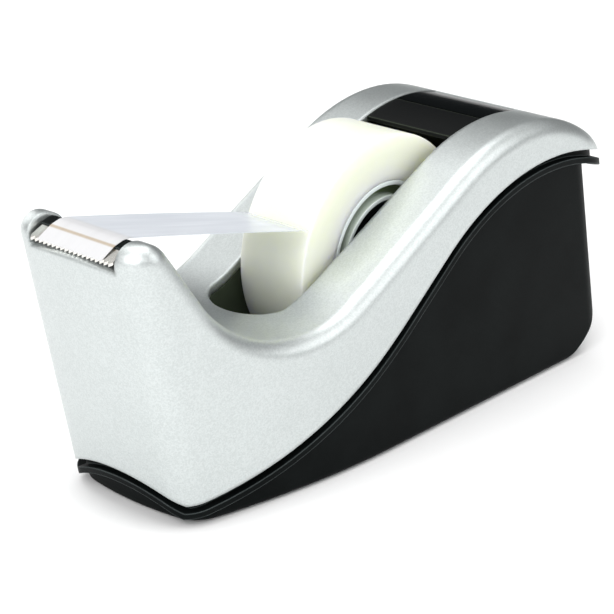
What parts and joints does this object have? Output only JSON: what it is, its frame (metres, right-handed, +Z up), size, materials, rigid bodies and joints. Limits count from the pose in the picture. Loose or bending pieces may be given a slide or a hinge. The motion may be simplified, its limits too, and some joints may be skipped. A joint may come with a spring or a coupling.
{
  "type": "desk tape dispenser",
  "caption": "Weighted two-tone desk tape dispenser: silver cover, dark base, toothed cutter head and a tape roll on a lift-out hub.",
  "frame": {"origin": "on the table, under the middle of the overall length and width", "axes": "+X from the cutter to the rear, +Y across the body, +Z up"},
  "size_m": [0.1599, 0.053, 0.0682],
  "materials": {
    "silver_cover": "satin metallic paint on plastic",
    "dark_base": "satin",
    "painted_plate": "matte",
    "pad_rubber": "matte",
    "ballast_iron": "as cast",
    "well_plastic": "satin",
    "gloss_panel": "gloss",
    "head_plastic": "satin",
    "blade_steel": "bright nickel",
    "wound_tape": "frosted translucent",
    "core_plastic": "satin",
    "hub_plastic": "satin",
    "clear_tape": "frosted clear",
    "screw_steel": "zinc plated"
  },
  "bodies": {
    "dispenser": {"top_cover": "silver_cover", "base_shell": "dark_base", "bottom_plate": "painted_plate", "front_pad": "pad_rubber", "rear_pad": "pad_rubber", "front_ballast": "ballast_iron", "rear_ballast": "ballast_iron", "tape_well": "well_plastic", "rear_panel": "gloss_panel", "blade_carrier": "head_plastic", "cutter_blade": "blade_steel", "blade_rivets": "blade_steel", "landing_bar": "head_plastic", "cover_screws": "screw_steel", "deck_screws": "screw_steel", "plate_screws": "screw_steel"},
    "strand": {"tape_tail": "clear_tape"},
    "roll": {"tape_roll": "wound_tape", "tape_core": "core_plastic", "hub_left": "hub_plastic", "hub_right": "hub_plastic"}
  },
  "joints": [
    {"name": "hub_lift", "type": "slide", "parent": "dispenser", "child": "strand", "axis": [-0.5736, 0, 0.8192], "range_m": [0, 0.045]},
    {"name": "roll_spin", "type": "hinge", "parent": "strand", "child": "roll", "pos_m": [0.0076, 0, 0.04], "axis": [0, 1, 0], "continuous": true}
  ]
}
